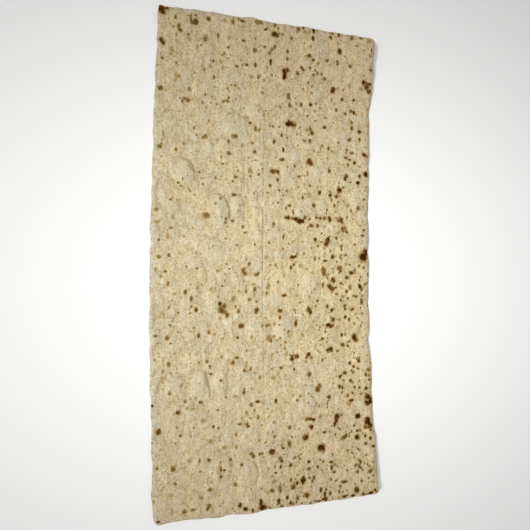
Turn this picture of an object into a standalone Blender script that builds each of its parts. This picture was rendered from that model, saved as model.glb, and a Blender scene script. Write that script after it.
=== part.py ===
"""A large rectangular sheet of very thin flatbread, baked to be topped as a pizza crust.

The sheet lies flat with its browned side up: +X runs across it, +Y along it and +Z up. The
origin is on the table under the middle of the sheet. Every size is in metres.

The sheet is one closed solid. It starts as a flat grid with a coarse underside and a top that
is twice as fine, and every vertex is then placed by the functions below, which hold the bowed
outline, the thin rim, the creases, the blisters and the lifted ends.
"""

import math
import random

import bmesh
import bpy

# The sheet
LENGTH = 0.600
WIDTH = 0.280
THICKNESS = 0.0022
EDGE_THICKNESS = 0.0009
RIM_WIDTH = 0.006  # the sheet thins to its edge over this width
CORNER_RADII = {(-1, 1): 0.003, (1, 1): 0.008, (1, -1): 0.007, (-1, -1): 0.007}

# The outline: the middle lies to -X of the two ends, and the edges swell and dip.
# A swell is its place along the edge, how far it stands out, and its spread.
BOW = 0.008
RIGHT_SWELLS = (
    (0.290, 0.0016, 0.030),
    (0.238, 0.0030, 0.026),
    (0.088, 0.0016, 0.012),
    (0.010, -0.0012, 0.014),
    (-0.107, -0.0028, 0.014),
    (-0.172, 0.0014, 0.030),
    (-0.235, 0.0020, 0.016),
    (-0.290, 0.0014, 0.020),
)
LEFT_SWELLS = (
    (0.285, 0.0010, 0.025),
    (0.100, -0.0008, 0.050),
    (-0.192, -0.0012, 0.010),
    (-0.274, 0.0018, 0.016),
)
FAR_SWELLS = (
    (0.125, -0.0012, 0.020),
    (0.085, -0.0008, 0.020),
    (0.003, -0.0008, 0.010),
    (-0.030, 0.0016, 0.014),
    (-0.084, 0.0008, 0.016),
    (-0.134, -0.0022, 0.014),
)
NEAR_SWELLS = (
    (0.120, -0.0010, 0.030),
    (-0.033, 0.0022, 0.012),
    (-0.070, 0.0012, 0.014),
    (-0.100, -0.0009, 0.014),
)
WAVER = 0.0003  # height of the fine waver that all four edges share
WAVER_LENGTHS = (0.023, 0.037, 0.061)

# How the sheet lifts off the table, as heights at the corners and along the long edges
CURL_START = 0.55  # share of the half length that lies flat
CURL_LEFT = 0.004
CURL_RIGHT = 0.0075
SIDE_START = 0.70  # share of the half width that lies flat
SIDE_LIFT = 0.0022
SIDE_WAVE = 0.130

# Creases: one along the sheet and four across it, where it was folded for its pack
LONG_CREASE_X = -0.0058
LONG_CREASE_RISE = 0.0006
LONG_CREASE_SPREAD = 0.010
CROSS_CREASES = (0.175, 0.054, -0.065, -0.180)
CROSS_CREASE_DIP = 0.0004
CROSS_CREASE_SPREAD = 0.008

# Blisters: one in each cell of a jittered grid, and a few large ones.
# A large one is x, y, half its width, half its length, and its height.
BLISTER_SEED = 11
BLISTER_COLUMNS = 8
BLISTER_ROWS = 15
BLISTER_RADII = (0.011, 0.019)
BLISTER_HEIGHTS = (0.0005, 0.0013)
LARGE_BLISTERS = (
    (-0.104, 0.103, 0.014, 0.018, 0.0024),
    (-0.063, 0.058, 0.016, 0.022, 0.0024),
    (-0.039, 0.066, 0.009, 0.014, 0.0018),
    (0.044, 0.061, 0.010, 0.010, 0.0018),
    (0.072, 0.070, 0.010, 0.012, 0.0018),
    (-0.085, -0.150, 0.012, 0.021, 0.0020),
    (-0.059, -0.148, 0.010, 0.016, 0.0018),
    (-0.114, -0.149, 0.014, 0.016, 0.0016),
    (-0.031, -0.255, 0.014, 0.018, 0.0020),
    (0.020, -0.083, 0.012, 0.018, 0.0020),
    (0.061, 0.213, 0.009, 0.011, 0.0016),
    (-0.109, 0.216, 0.012, 0.017, 0.0016),
    (-0.130, -0.281, 0.012, 0.013, 0.0014),
    (-0.020, 0.182, 0.014, 0.014, 0.0018),
    (-0.044, 0.163, 0.020, 0.017, 0.0018),
    (-0.075, 0.134, 0.008, 0.011, 0.0014),
    (-0.067, 0.010, 0.020, 0.016, 0.0018),
    (0.056, -0.031, 0.013, 0.019, 0.0018),
    (0.009, -0.051, 0.012, 0.010, 0.0014),
    (0.049, -0.180, 0.014, 0.013, 0.0016),
    (0.007, 0.036, 0.013, 0.014, 0.0014),
    (0.043, 0.252, 0.009, 0.013, 0.0014),
    (0.001, -0.204, 0.013, 0.010, 0.0014),
    (0.124, -0.186, 0.009, 0.008, 0.0012),
    (0.026, -0.246, 0.009, 0.010, 0.0012),
    (0.073, -0.243, 0.010, 0.009, 0.0012),
    (-0.011, 0.120, 0.011, 0.012, 0.0014),
    (0.062, 0.114, 0.011, 0.012, 0.0014),
)

# The coarse grid of the underside; the top has twice as many cells each way
CELLS_ACROSS = 21
CELLS_ALONG = 44

CRUMB = {"colour": (0.68, 0.54, 0.31, 1.0), "roughness": 0.85}


def clear_scene():
    for thing in list(bpy.data.objects):
        bpy.data.objects.remove(thing, do_unlink=True)


def smooth(value):
    """Goes from 0 to 1 as value does, level at both ends."""
    value = min(max(value, 0.0), 1.0)
    return value * value * (3.0 - 2.0 * value)


def swell(place, swells):
    return sum(size * math.exp(-(((place - at) / spread) ** 2)) for at, size, spread in swells)


def waver(place, phase):
    """Three sine waves along an edge, the longest the highest."""
    return WAVER * sum(
        math.sin(math.tau * place / length + phase * (turn + 1))
        for turn, length in enumerate(WAVER_LENGTHS)
    )


def inset_rim(share, cells, rim):
    """Moves an even grid's outermost cells out, so that they are as narrow as the rim."""
    inner = 1.0 - 2.0 / cells
    if abs(share) <= inner:
        return share / inner * (1.0 - rim)
    beyond = (abs(share) - inner) / (1.0 - inner)
    return math.copysign(1.0 - rim + rim * beyond, share)


def round_corner(x, y):
    """Maps the square at a corner of the rectangle onto a quarter disc."""
    side_x, side_y = math.copysign(1, x), math.copysign(1, y)
    radius = CORNER_RADII[(int(side_x), int(side_y))]
    past_x = abs(x) - (WIDTH / 2 - radius)
    past_y = abs(y) - (LENGTH / 2 - radius)
    if past_x <= 0 or past_y <= 0:
        return x, y
    pull = max(past_x, past_y) / math.hypot(past_x, past_y)
    return (
        side_x * (WIDTH / 2 - radius + past_x * pull),
        side_y * (LENGTH / 2 - radius + past_y * pull),
    )


def bend_outline(x, y):
    """Moves a point of the straight rectangle to its place in the bowed, uneven sheet."""
    across, along = x / (WIDTH / 2), y / (LENGTH / 2)
    right = swell(y, RIGHT_SWELLS) + waver(y, 1.0)
    left = -swell(y, LEFT_SWELLS) + waver(y, 2.2)
    far = swell(x, FAR_SWELLS) + waver(x, 3.1)
    near = -swell(x, NEAR_SWELLS) + waver(x, 4.4)
    side = right if across > 0 else left
    end = far if along > 0 else near
    return (
        x + side * abs(across) ** 3 + BOW * (along**2 - 0.4),
        y + end * abs(along) ** 6,
    )


def past(share, start):
    """How far a share of the half size has gone from the flat middle to the edge, squared."""
    return max((abs(share) - start) / (1.0 - start), 0.0) ** 2


def lift(across, along):
    """Height of the underside above the table, for shares of the half width and half length."""
    curl = CURL_LEFT + (CURL_RIGHT - CURL_LEFT) * smooth((across + 1.0) / 2.0)
    wave = 0.5 + 0.5 * math.sin(math.tau * along * LENGTH / 2 / SIDE_WAVE + across)
    return curl * past(along, CURL_START) + SIDE_LIFT * past(across, SIDE_START) * wave


def rim_thickness(x, y):
    """The sheet's thickness, which falls off in a quarter round towards the edge."""
    inside = min(WIDTH / 2 - abs(x), LENGTH / 2 - abs(y))
    depth = min(max(inside / RIM_WIDTH, 0.0), 1.0)
    return EDGE_THICKNESS + (THICKNESS - EDGE_THICKNESS) * math.sqrt(1.0 - (1.0 - depth) ** 2)


def scatter_blisters():
    """The large blisters, and one smaller one in each cell of a jittered grid."""
    chance = random.Random(BLISTER_SEED)
    blisters = list(LARGE_BLISTERS)
    pitch_x, pitch_y = WIDTH / BLISTER_COLUMNS, LENGTH / BLISTER_ROWS
    for row in range(BLISTER_ROWS):
        for column in range(BLISTER_COLUMNS):
            x = (column + chance.uniform(0.2, 0.8)) * pitch_x - WIDTH / 2
            y = (row + chance.uniform(0.2, 0.8)) * pitch_y - LENGTH / 2
            half_width = chance.uniform(*BLISTER_RADII)
            half_length = half_width * chance.uniform(1.0, 1.4)
            height = chance.uniform(*BLISTER_HEIGHTS)
            blisters.append((x, y, half_width, half_length, height))
    return blisters


def blister_relief(x, y, blisters):
    """The highest blister at a point, so that neighbours meet in a valley."""
    highest = 0.0
    for at_x, at_y, half_width, half_length, height in blisters:
        if abs(x - at_x) < half_width and abs(y - at_y) < half_length:
            reach = ((x - at_x) / half_width) ** 2 + ((y - at_y) / half_length) ** 2
            if reach < 1.0:
                highest = max(highest, height * (1.0 - reach) ** 1.3)
    return highest


def crease_relief(x, y):
    """A low ridge along the sheet and shallow dips across it."""
    ridge = LONG_CREASE_RISE * math.exp(-(((x - LONG_CREASE_X) / LONG_CREASE_SPREAD) ** 2))
    dips = CROSS_CREASE_DIP * sum(
        math.exp(-(((y - at) / CROSS_CREASE_SPREAD) ** 2)) for at in CROSS_CREASES
    )
    return ridge - dips


def flat_slab():
    """A slab two units across and one thick, with a top twice as fine as its underside."""
    slab = bmesh.new()
    bmesh.ops.create_grid(slab, x_segments=CELLS_ACROSS, y_segments=CELLS_ALONG, size=1.0)
    raised = bmesh.ops.extrude_face_region(slab, geom=slab.faces[:])["geom"]
    top = [part for part in raised if isinstance(part, bmesh.types.BMVert)]
    bmesh.ops.translate(slab, vec=(0, 0, 1), verts=top)
    top_edges = [e for e in slab.edges if all(v.co.z > 0.5 for v in e.verts)]
    bmesh.ops.subdivide_edges(slab, edges=top_edges, cuts=1, use_grid_fill=True)
    bmesh.ops.recalc_face_normals(slab, faces=slab.faces[:])
    return slab


def shape_crust(slab):
    """Places every vertex of the slab in the finished sheet."""
    blisters = scatter_blisters()
    for vertex in slab.verts:
        is_top = vertex.co.z > 0.5
        x = inset_rim(vertex.co.x, CELLS_ACROSS, RIM_WIDTH / (WIDTH / 2)) * WIDTH / 2
        y = inset_rim(vertex.co.y, CELLS_ALONG, RIM_WIDTH / (LENGTH / 2)) * LENGTH / 2
        height = lift(x / (WIDTH / 2), y / (LENGTH / 2))
        if is_top:
            inside = min(WIDTH / 2 - abs(x), LENGTH / 2 - abs(y))
            relief = blister_relief(x, y, blisters) + crease_relief(x, y)
            height += rim_thickness(x, y) + relief * smooth(inside / RIM_WIDTH)
        vertex.co = (*bend_outline(*round_corner(x, y)), height)


def centre_on_table(slab):
    """Puts the middle of the sheet's box over the origin."""
    for axis in (0, 1):
        places = [vertex.co[axis] for vertex in slab.verts]
        middle = (min(places) + max(places)) / 2
        for vertex in slab.verts:
            vertex.co[axis] -= middle


def crumb_material():
    material = bpy.data.materials.new("baked_crumb")
    material.use_nodes = True
    shader = material.node_tree.nodes["Principled BSDF"]
    shader.inputs["Base Color"].default_value = CRUMB["colour"]
    shader.inputs["Roughness"].default_value = CRUMB["roughness"]
    shader.inputs["Metallic"].default_value = 0.0
    material.diffuse_color = CRUMB["colour"]
    return material


def make_crust(collection):
    slab = flat_slab()
    shape_crust(slab)
    centre_on_table(slab)
    mesh = bpy.data.meshes.new("crust")
    slab.to_mesh(mesh)
    slab.free()
    mesh.materials.append(crumb_material())
    mesh.shade_smooth()
    crust = bpy.data.objects.new("crust", mesh)
    collection.objects.link(crust)


def main():
    clear_scene()
    collection = bpy.data.collections.new("thin_pizza_crust")
    bpy.context.scene.collection.children.link(collection)
    make_crust(collection)


main()
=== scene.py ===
import math
import random

import bpy
import numpy as np
from mathutils import Matrix, Vector


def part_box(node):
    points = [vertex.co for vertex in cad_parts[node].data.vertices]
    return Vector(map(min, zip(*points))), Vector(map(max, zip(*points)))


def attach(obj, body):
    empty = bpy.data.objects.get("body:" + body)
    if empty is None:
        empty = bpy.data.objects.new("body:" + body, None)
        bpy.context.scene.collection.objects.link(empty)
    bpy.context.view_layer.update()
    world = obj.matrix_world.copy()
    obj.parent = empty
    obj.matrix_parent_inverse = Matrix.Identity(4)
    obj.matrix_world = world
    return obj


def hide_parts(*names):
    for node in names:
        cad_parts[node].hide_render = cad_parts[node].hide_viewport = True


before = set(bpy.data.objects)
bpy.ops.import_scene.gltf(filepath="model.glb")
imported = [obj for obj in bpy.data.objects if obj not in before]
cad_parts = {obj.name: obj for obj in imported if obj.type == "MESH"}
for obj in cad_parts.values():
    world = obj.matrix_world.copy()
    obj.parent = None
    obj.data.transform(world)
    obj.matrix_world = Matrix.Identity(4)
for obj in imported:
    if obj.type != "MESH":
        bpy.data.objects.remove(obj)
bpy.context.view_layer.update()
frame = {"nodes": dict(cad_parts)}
crustLow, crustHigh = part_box("crust")
print("frame loaded:", ", ".join(frame["nodes"]))

# The baked sheet, in metres. A swell is its place along an edge, how far it stands out, and its spread.
sheet = {
    "length": 0.600,
    "width": 0.280,
    "thickness": 0.0022,
    "edgeThickness": 0.0009,
    "rimWidth": 0.006,  # the sheet thins to its edge over this width
    "shadedRim": 0.010,  # and is painted a little darker and greyer over this one, as painted shade
    "rosyEnds": 0.45,  # share of the half length past which the crumb turns a little rosier
    # by side and end, so that (-1, 1) is the left corner at the far end
    "cornerRadii": {(-1, 1): 0.003, (1, 1): 0.008, (1, -1): 0.007, (-1, -1): 0.007},
    "bow": 0.008,  # how far the middle lies to the left of the ends
    "bowLeft": 0.4,  # the share of the bow that lies left of the lengthwise axis
    "rightSwells": [
        (0.290, 0.0016, 0.030), (0.238, 0.0030, 0.026), (0.088, 0.0016, 0.012), (0.010, -0.0012, 0.014),
        (-0.107, -0.0028, 0.014), (-0.172, 0.0014, 0.030), (-0.235, 0.0020, 0.016), (-0.290, 0.0014, 0.020),
    ],
    "leftSwells": [
        (0.285, 0.0010, 0.025), (0.100, -0.0008, 0.050), (-0.192, -0.0012, 0.010), (-0.274, 0.0018, 0.016),
    ],
    "farSwells": [
        (0.125, -0.0012, 0.020), (0.085, -0.0008, 0.020), (0.003, -0.0008, 0.010), (-0.030, 0.0016, 0.014),
        (-0.084, 0.0008, 0.016), (-0.134, -0.0022, 0.014),
    ],
    "nearSwells": [
        (0.120, -0.0010, 0.030), (-0.033, 0.0022, 0.012), (-0.070, 0.0012, 0.014), (-0.100, -0.0009, 0.014),
    ],
    "waver": 0.0003,  # height of the fine waver that all four edges share
    "waverLengths": [0.023, 0.037, 0.061],
    "waverStarts": {"right": 1.0, "left": 2.2, "far": 3.1, "near": 4.4},  # so that no two edges waver alike
    "sideFade": 3,  # how fast the shape of a long edge fades towards the middle
    "endFade": 6,  # and that of a short one
    "curlStart": 0.55,  # share of the half length that lies flat
    "curlLeft": 0.004,  # lift of the corners at the left
    "curlRight": 0.0075,  # and at the right
    "sideStart": 0.70,  # share of the half width that lies flat
    "sideLift": 0.0022,
    "sideWave": 0.130,  # length of the wave in which the long edges lift
    "cellsAcross": 68,  # of the underside; the top has fineness times as many each way
    "cellsAlong": 144,
    "fineness": 3,
    "sharpAngle": 50,  # in degrees, past which two faces meet in a sharp edge
}
halfWidth, halfLength = sheet["width"] / 2, sheet["length"] / 2


def smooth(value):  # 0 to 1, level at both ends
    value = np.clip(value, 0.0, 1.0)
    return value * value * (3.0 - 2.0 * value)


def swell(place, swells):
    return sum(size * np.exp(-(((place - at) / spread) ** 2)) for at, size, spread in swells)


def waver(place, start):
    waves = enumerate(sheet["waverLengths"], 1)
    return sheet["waver"] * sum(np.sin(math.tau * place / length + start * turn) for turn, length in waves)


def roundCorners(x, y):  # each corner's square becomes a quarter disc
    x, y = x.copy(), y.copy()
    for (sideX, sideY), radius in sheet["cornerRadii"].items():
        pastX, pastY = sideX * x - (halfWidth - radius), sideY * y - (halfLength - radius)
        inside = (pastX > 0) & (pastY > 0)
        pull = np.maximum(pastX, pastY)[inside] / np.hypot(pastX, pastY)[inside]
        x[inside] = sideX * (halfWidth - radius + pastX[inside] * pull)
        y[inside] = sideY * (halfLength - radius + pastY[inside] * pull)
    return x, y


def bendOutline(x, y):
    across, along, starts = x / halfWidth, y / halfLength, sheet["waverStarts"]
    right = swell(y, sheet["rightSwells"]) + waver(y, starts["right"])
    left = -swell(y, sheet["leftSwells"]) + waver(y, starts["left"])
    far = swell(x, sheet["farSwells"]) + waver(x, starts["far"])
    near = -swell(x, sheet["nearSwells"]) + waver(x, starts["near"])
    side, end = np.where(across > 0, right, left), np.where(along > 0, far, near)
    bentX = x + side * abs(across) ** sheet["sideFade"] + sheet["bow"] * (along**2 - sheet["bowLeft"])
    return bentX, y + end * abs(along) ** sheet["endFade"]


def placed(x, y):  # where a point of the flat sheet lies, fitted to the solid's own box
    along = np.linspace(-1.0, 1.0, sheet["cellsAlong"] * sheet["fineness"] + 1)
    across = np.linspace(-1.0, 1.0, sheet["cellsAcross"] * sheet["fineness"] + 1)
    left, near = -np.ones(along.shape), -np.ones(across.shape)
    borderX = np.concatenate([across, across, left, -left]) * halfWidth
    borderY = np.concatenate([near, -near, along, along]) * halfLength
    border = bendOutline(*roundCorners(borderX, borderY))
    return [
        (value - edge.min()) / (edge.max() - edge.min()) * (high - low) + low
        for value, edge, low, high in zip(bendOutline(*roundCorners(x, y)), border, crustLow, crustHigh)
    ]


def past(share, start):  # from the flat middle to the edge, squared
    return np.maximum((abs(share) - start) / (1.0 - start), 0.0) ** 2


def liftOff(x, y):  # height of the underside above the table
    across, along = x / halfWidth, y / halfLength
    curl = sheet["curlLeft"] + (sheet["curlRight"] - sheet["curlLeft"]) * smooth((across + 1.0) / 2.0)
    wave = 0.5 + 0.5 * np.sin(math.tau * y / sheet["sideWave"] + across)
    side = sheet["sideLift"] * past(across, sheet["sideStart"]) * wave
    return curl * past(along, sheet["curlStart"]) + side


def edgeDistance(x, y):
    return np.minimum(halfWidth - abs(x), halfLength - abs(y))


def rimThickness(x, y):  # falls off in a quarter round towards the edge
    depth = np.clip(edgeDistance(x, y) / sheet["rimWidth"], 0.0, 1.0)
    full, edge = sheet["thickness"], sheet["edgeThickness"]
    return edge + (full - edge) * np.sqrt(1.0 - (1.0 - depth) ** 2)


# The noise that all the relief shares
noiseCells = 256  # each way, before it repeats
noiseShift = (64.3, 64.7)  # keeps the sheet's middle off a corner of the cells
noiseGain = 1.6
noisePeak = 1.2  # no value is higher


def rollingNoise(x, y, sizeX, sizeY, seed):  # soft bumps and hollows of about that size, about -1 to 1
    slopes = np.random.default_rng(seed).uniform(0.0, math.tau, (noiseCells, noiseCells))
    u, v = x / sizeX + noiseShift[0], y / sizeY + noiseShift[1]
    i, j = np.floor(u).astype(int), np.floor(v).astype(int)
    u, v = u - i, v - j
    weightU, weightV = smooth(u), smooth(v)

    def corner(stepI, stepJ):
        slope = slopes[(i + stepI) % noiseCells, (j + stepJ) % noiseCells]
        return np.cos(slope) * (u - stepI) + np.sin(slope) * (v - stepJ)

    low = corner(0, 0) * (1 - weightU) + corner(1, 0) * weightU
    high = corner(0, 1) * (1 - weightU) + corner(1, 1) * weightU
    return (low * (1 - weightV) + high * weightV) * noiseGain


# Blisters, in metres: the large ones are x, y, half the width, half the length, and the height
blisters = {
    # the small ones of the solid: one in each cell of a grid, somewhere inside it
    "seed": 11,
    "columns": 8,
    "rows": 15,
    "inCell": (0.2, 0.8),
    "radii": (0.011, 0.019),
    "longer": (1.0, 1.4),
    "heights": (0.0005, 0.0013),
    "large": [
        (-0.104, 0.103, 0.014, 0.018, 0.0024), (-0.063, 0.058, 0.016, 0.022, 0.0024),
        (-0.039, 0.066, 0.009, 0.014, 0.0018), (0.044, 0.061, 0.010, 0.010, 0.0018),
        (0.072, 0.070, 0.010, 0.012, 0.0018), (-0.085, -0.150, 0.012, 0.021, 0.0020),
        (-0.059, -0.148, 0.010, 0.016, 0.0018), (-0.114, -0.149, 0.014, 0.016, 0.0016),
        (-0.031, -0.255, 0.014, 0.018, 0.0020), (0.020, -0.083, 0.012, 0.018, 0.0020),
        (0.061, 0.213, 0.009, 0.011, 0.0016), (-0.109, 0.216, 0.012, 0.017, 0.0016),
        (-0.130, -0.281, 0.012, 0.013, 0.0014), (-0.020, 0.182, 0.014, 0.014, 0.0018),
        (-0.044, 0.163, 0.020, 0.017, 0.0018), (-0.075, 0.134, 0.008, 0.011, 0.0014),
        (-0.067, 0.010, 0.020, 0.016, 0.0018), (0.056, -0.031, 0.013, 0.019, 0.0018),
        (0.009, -0.051, 0.012, 0.010, 0.0014), (0.049, -0.180, 0.014, 0.013, 0.0016),
        (0.007, 0.036, 0.013, 0.014, 0.0014), (0.043, 0.252, 0.009, 0.013, 0.0014),
        (0.001, -0.204, 0.013, 0.010, 0.0014), (0.124, -0.186, 0.009, 0.008, 0.0012),
        (0.026, -0.246, 0.009, 0.010, 0.0012), (0.073, -0.243, 0.010, 0.009, 0.0012),
        (-0.011, 0.120, 0.011, 0.012, 0.0014), (0.062, 0.114, 0.011, 0.012, 0.0014),
    ],
    "largeEdge": 1.0,  # the lower, the steeper its side
    "smallEdge": 1.2,
    # and the ones scattered over the whole sheet
    "bubbles": {"seed": 14, "count": 900, "radii": (0.004, 0.010), "heights": (0.0002, 0.0009)},
    "pimples": {"seed": 15, "count": 5200, "radii": (0.0018, 0.0042), "heights": (0.00006, 0.00030)},
    "stretch": (0.8, 1.6),  # how long they are for their width
    "edges": (0.6, 1.6),  # the lower, the steeper their sides
    "wander": 0.0024,  # how far a blister's outline strays from an ellipse
    "wanderNoises": [(0.016, 0.020, 12), (0.016, 0.020, 13)],  # size across, size along and seed
    "smoothHeight": 0.0012,  # a large blister is smoothest above this height
    "lessBumpy": 0.25,  # how much lower bubbles and pimples are there
    "lessSkin": 0.1,  # and the fine skin
    "lessBrown": 0.6,  # and how much less it browns
}


def blisterList():  # the same draws as the solid's, so that both have the same mounds
    chance = random.Random(blisters["seed"])
    found = [(*large, blisters["largeEdge"]) for large in blisters["large"]]
    pitchX, pitchY = sheet["width"] / blisters["columns"], sheet["length"] / blisters["rows"]
    for row in range(blisters["rows"]):
        for column in range(blisters["columns"]):
            x = (column + chance.uniform(*blisters["inCell"])) * pitchX - halfWidth
            y = (row + chance.uniform(*blisters["inCell"])) * pitchY - halfLength
            radius = chance.uniform(*blisters["radii"])
            longer = radius * chance.uniform(*blisters["longer"])
            found.append((x, y, radius, longer, chance.uniform(*blisters["heights"]), blisters["smallEdge"]))
    return found


def scattered(kind):
    chance = random.Random(kind["seed"])
    found = []
    for _ in range(kind["count"]):
        radius = chance.uniform(*kind["radii"])
        x, y = chance.uniform(-halfWidth, halfWidth), chance.uniform(-halfLength, halfLength)
        longer = radius * chance.uniform(*blisters["stretch"])
        height, edge = chance.uniform(*kind["heights"]), chance.uniform(*blisters["edges"])
        found.append((x, y, radius, longer, height, edge))
    return found


def raised(xs, ys, strayX, strayY, found):
    # the highest blister at each point, so that neighbours meet in a valley
    relief = np.zeros(strayX.shape)
    reach = blisters["wander"]
    for atX, atY, radius, longer, height, edge in found:
        columns = slice(*np.searchsorted(xs, (atX - radius - reach, atX + radius + reach)))
        rows = slice(*np.searchsorted(ys, (atY - longer - reach, atY + longer + reach)))
        away = ((strayX[rows, columns] - atX) / radius) ** 2 + ((strayY[rows, columns] - atY) / longer) ** 2
        mound = height * np.clip(1.0 - away, 0.0, 1.0) ** edge
        relief[rows, columns] = np.maximum(relief[rows, columns], mound)
    return relief


# Creases from the pack's folds: one along the sheet and four across it
creases = {
    "alongX": -0.0058,
    "sharpestY": 0.02,  # the long one is sharpest there and fades towards both ends
    "sharpReach": 0.15,
    "faintest": 0.5,
    "grooveDepth": 0.00050,
    "grooveWidth": 0.0010,
    "lipHeight": 0.00030,
    "lipAway": 0.0028,
    "lipWidth": 0.0022,
    "ridge": 0.0006,
    "ridgeWidth": 0.010,
    "unbroken": 0.75,  # the higher, the fewer gaps the long one has
    "breaking": 0.9,
    "breakNoise": (0.05, 0.007, 42),  # size across, size along and seed
    "acrossY": [0.175, 0.054, -0.065, -0.180],
    "dip": 0.0004,
    "dipWidth": 0.0026,
    "sway": 0.0012,  # how far the ones across stray from a straight line
    "swaySizes": (0.03, 0.5),
    "swaySeed": 50,
    "unworn": 0.45,  # the higher, the less of them is worn away
    "wearing": 1.1,
    "wearSizes": (0.035, 0.5),
    "wearSeed": 60,
}


def creaseRelief(xs, x, y):
    line = xs[np.argmin(abs(xs - creases["alongX"]))]  # on a column of the mesh, so that the fold stays sharp
    away = x - line
    broken = smooth(creases["unbroken"] + creases["breaking"] * rollingNoise(x, y, *creases["breakNoise"]))
    least = creases["faintest"]
    fade = np.exp(-(((y - creases["sharpestY"]) / creases["sharpReach"]) ** 2))
    sharp = broken * (least + (1.0 - least) * fade)
    middle = np.exp(-((away / creases["grooveWidth"]) ** 2))
    groove = creases["grooveDepth"] * middle * sharp
    lip = creases["lipHeight"] * np.exp(-(((away - creases["lipAway"]) / creases["lipWidth"]) ** 2)) * sharp
    relief = creases["ridge"] * np.exp(-((away / creases["ridgeWidth"]) ** 2)) + lip - groove
    for turn, atY in enumerate(creases["acrossY"]):
        sway = rollingNoise(x, y, *creases["swaySizes"], creases["swaySeed"] + turn)
        wear = rollingNoise(x, y, *creases["wearSizes"], creases["wearSeed"] + turn)
        off = y - atY + creases["sway"] * sway
        worn = smooth(creases["unworn"] + creases["wearing"] * wear)
        relief = relief - creases["dip"] * np.exp(-((off / creases["dipWidth"]) ** 2)) * worn
    # the crease's relief, and its middle, where the finish paints shade
    return relief, middle * sharp


# Wrinkles that the dough drew beside its blisters: how deep, then their way in millimetres
wrinkles = {
    "width": 0.0015,
    "depth": 0.0008,
    "wander": 0.5,  # how far a wrinkle strays from its way, as a share of its width
    "wanderNoises": [(0.006, 0.006, 16), (0.006, 0.006, 17)],  # size across, size along and seed
    "paintedShade": 0.8,  # painted shade of a wrinkle's line, beside that of a crease
    "lines": [
        (1.0, [(-110, 120), (-102, 118), (-96, 112), (-94, 104)]),
        (1.0, [(-68, 80), (-60, 77), (-54, 71), (-51, 61), (-51, 50)]),
        (0.6, [(-37, 78), (-33, 71), (-33, 62), (-32, 54)]),
        (0.5, [(-37, 63), (-37, 54)]),
        (0.5, [(-75, 145), (-70, 138), (-71, 131), (-76, 124)]),
        (0.7, [(-88, 28), (-72, 27), (-64, 23), (-52, 16)]),
        (0.5, [(-36, 21), (-38, 12), (-36, 4)]),
        (0.5, [(-16, 78), (-13, 68), (-15, 58), (-14, 41)]),
        (0.6, [(72, 80), (77, 75), (78, 68), (76, 60)]),
        (0.5, [(-139, 96), (-131, 87), (-126, 76)]),
        (0.6, [(-100, -15), (-92, -11), (-86, -4), (-84, 2)]),
        (0.5, [(-80, -10), (-79, -20), (-77, -31)]),
        (0.7, [(-139, -70), (-126, -68), (-117, -69), (-110, -63)]),
        (0.9, [(-134, -154), (-133, -145), (-128, -137), (-121, -131)]),
        (1.0, [(-80, -133), (-77, -142), (-75, -151), (-74, -161)]),
        (0.5, [(-95, -103), (-92, -112)]),
        (0.5, [(-95, -126), (-95, -140)]),
        (0.6, [(-58, -133), (-54, -140), (-51, -149)]),
        (0.8, [(30, -68), (28, -78), (28, -96)]),
        (0.5, [(60, -108), (65, -114), (70, -120)]),
        (0.5, [(-57, -127), (-49, -126), (-39, -116)]),
        (1.0, [(-22, -241), (-17, -249), (-16, -259), (-18, -267)]),
        (0.9, [(-62, -240), (-63, -248), (-61, -259)]),
        (0.7, [(-126, -243), (-117, -247), (-107, -241), (-100, -240)]),
        (0.5, [(-128, -262), (-113, -264), (-100, -262)]),
        (0.5, [(-111, -222), (-108, -232), (-104, -242)]),
        (0.7, [(-137, -268), (-124, -268), (-117, -273), (-116, -290)]),
        (0.7, [(-54, -182), (-55, -190), (-57, -197)]),
        (0.5, [(-8, -196), (-4, -199), (0, -195)]),
        (0.6, [(5, -198), (11, -192), (17, -187)]),
        (0.5, [(9, -229), (17, -222)]),
        (0.5, [(48, -240), (50, -262)]),
        (0.9, [(-21, 194), (-13, 192), (-8, 184), (-6, 174)]),
        (0.9, [(-49, 185), (-41, 179), (-32, 176), (-25, 170)]),
        (0.6, [(63, 222), (68, 220), (69, 213), (64, 205)]),
        (0.6, [(-84, 244), (-84, 234), (-82, 226)]),
        (0.5, [(-96, 231), (-97, 214), (-99, 202)]),
        (0.7, [(64, -14), (67, -24), (68, -36), (66, -48)]),
        (0.5, [(18, -45), (20, -52), (17, -60)]),
        (0.5, [(44, -164), (46, -174), (44, -186)]),
    ],
}


def wrinkleLines(x, y):  # 1 along the middle of the deepest wrinkles, and 0 away from all of them
    found = np.zeros(x.shape)
    for depth, route in wrinkles["lines"]:
        away = np.full(x.shape, 1.0)
        for (fromX, fromY), (toX, toY) in zip(route, route[1:]):
            wayX, wayY = (toX - fromX) / 1000, (toY - fromY) / 1000
            offX, offY = x - fromX / 1000, y - fromY / 1000
            share = np.clip((offX * wayX + offY * wayY) / (wayX**2 + wayY**2), 0.0, 1.0)
            away = np.minimum(away, np.hypot(offX - share * wayX, offY - share * wayY))
        found = np.maximum(found, depth * np.exp(-((away / wrinkles["width"]) ** 2)))
    return found


# Fine skin of the dough, as height, size across, size along and seed
skin = {
    "wrinkle": (0.00022, 0.0034, 0.022, 21),
    "pucker": (0.00024, 0.0052, 0.0075, 23),
    "grain": (0.00013, 0.0028, 0.0034, 24),
    "sharpness": 3.0,  # of the wrinkles
    "patches": (0.045, 0.070, 22),  # where they show
    "patchiness": 0.9,
}


def skinRelief(x, y):
    height, *noise = skin["wrinkle"]
    folds = 1.0 - np.minimum(abs(rollingNoise(x, y, *noise)) * skin["sharpness"], 1.0)
    patches = smooth(0.5 + skin["patchiness"] * rollingNoise(x, y, *skin["patches"]))
    relief = -height * folds * patches
    for name in ("pucker", "grain"):
        height, *noise = skin[name]
        relief = relief + height * rollingNoise(x, y, *noise)
    return relief


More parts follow.
